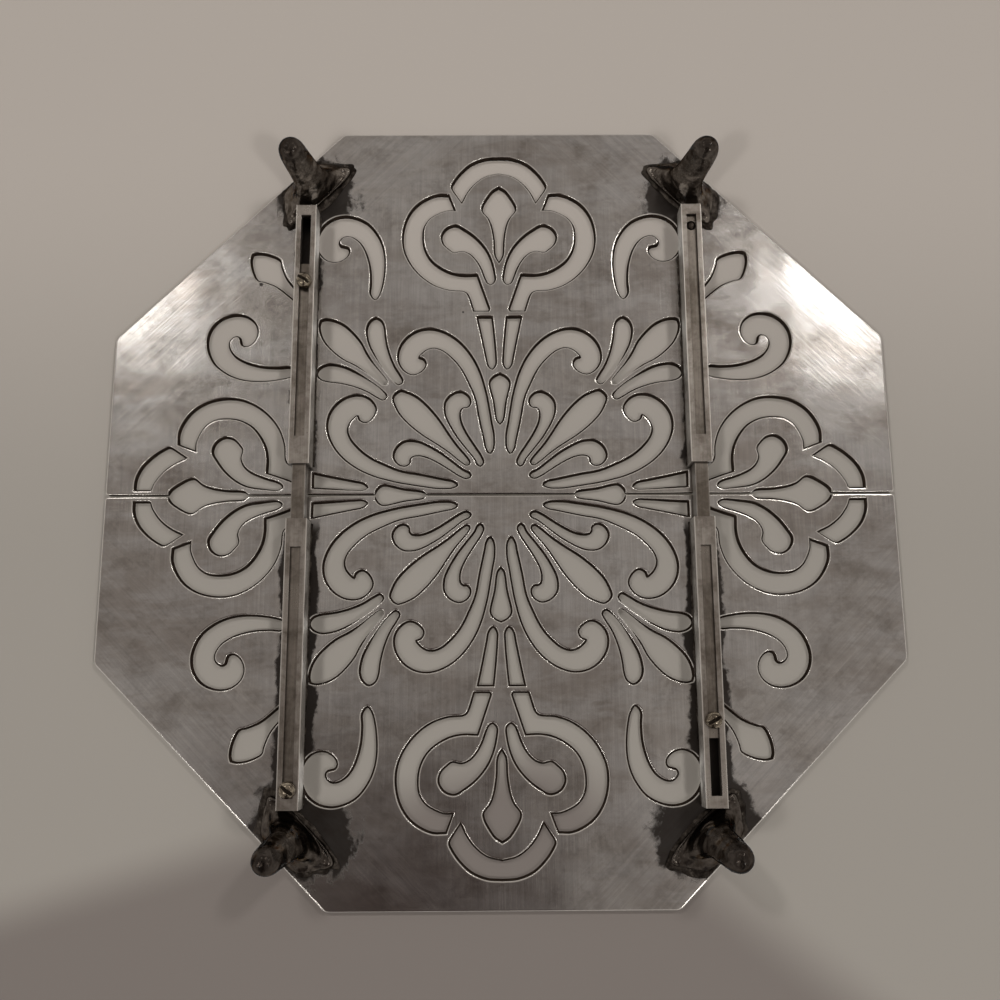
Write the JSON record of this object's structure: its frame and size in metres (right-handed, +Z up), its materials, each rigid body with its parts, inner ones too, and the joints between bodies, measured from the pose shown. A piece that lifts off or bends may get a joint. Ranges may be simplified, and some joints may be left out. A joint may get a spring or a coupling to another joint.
{
  "type": "expandable trivet",
  "caption": "Eight-sided pierced metal trivet in two halves that slide apart on bars under the plate, standing on cast feet.",
  "frame": {"origin": "centre of the closed trivet's outline, on the surface it stands on", "axes": "+Z up out of the plate, +Y the way the rear half slides out, +X to the right along the seam"},
  "size_m": [0.2206, 0.2206, 0.0225],
  "materials": {
    "plated_silver": "brushed silver plate, tarnished",
    "channel_plate": "worn silver plate",
    "bar_metal": "worn plate",
    "cast_foot": "dark polished casting",
    "screw_brass": "aged",
    "pin_steel": "dark"
  },
  "bodies": {
    "front_half": {"front_plate": "plated_silver", "front_left_channel": "channel_plate", "front_left_end_plug": "channel_plate", "front_left_foot": "cast_foot", "front_right_channel": "channel_plate", "front_right_end_plug": "channel_plate", "front_right_foot": "cast_foot"},
    "rear_half": {"rear_plate": "plated_silver", "rear_left_channel": "channel_plate", "rear_left_end_plug": "channel_plate", "rear_left_foot": "cast_foot", "rear_right_channel": "channel_plate", "rear_right_end_plug": "channel_plate", "rear_right_foot": "cast_foot"},
    "left_bar": {"left_slide_bar": "bar_metal", "left_front_screw": "screw_brass", "left_rear_screw": "screw_brass"},
    "right_bar": {"right_slide_bar": "bar_metal", "right_front_stop_pin": "pin_steel", "right_rear_screw": "screw_brass"}
  },
  "joints": [
    {"name": "extension", "type": "slide", "parent": "front_half", "child": "rear_half", "axis": [0, 1, 0], "range_m": [0, 0.1064]},
    {"name": "left_bar_slide", "type": "slide", "parent": "front_half", "child": "left_bar", "axis": [0, 1, 0], "range_m": [0, 0.0441]},
    {"name": "right_bar_slide", "type": "slide", "parent": "front_half", "child": "right_bar", "axis": [0, 1, 0], "range_m": [0, 0.0612]}
  ],
  "couplings": [
    {"joint": "left_bar_slide", "follows": "extension", "ratio": 0.4144},
    {"joint": "right_bar_slide", "follows": "extension", "ratio": 0.5751}
  ]
}
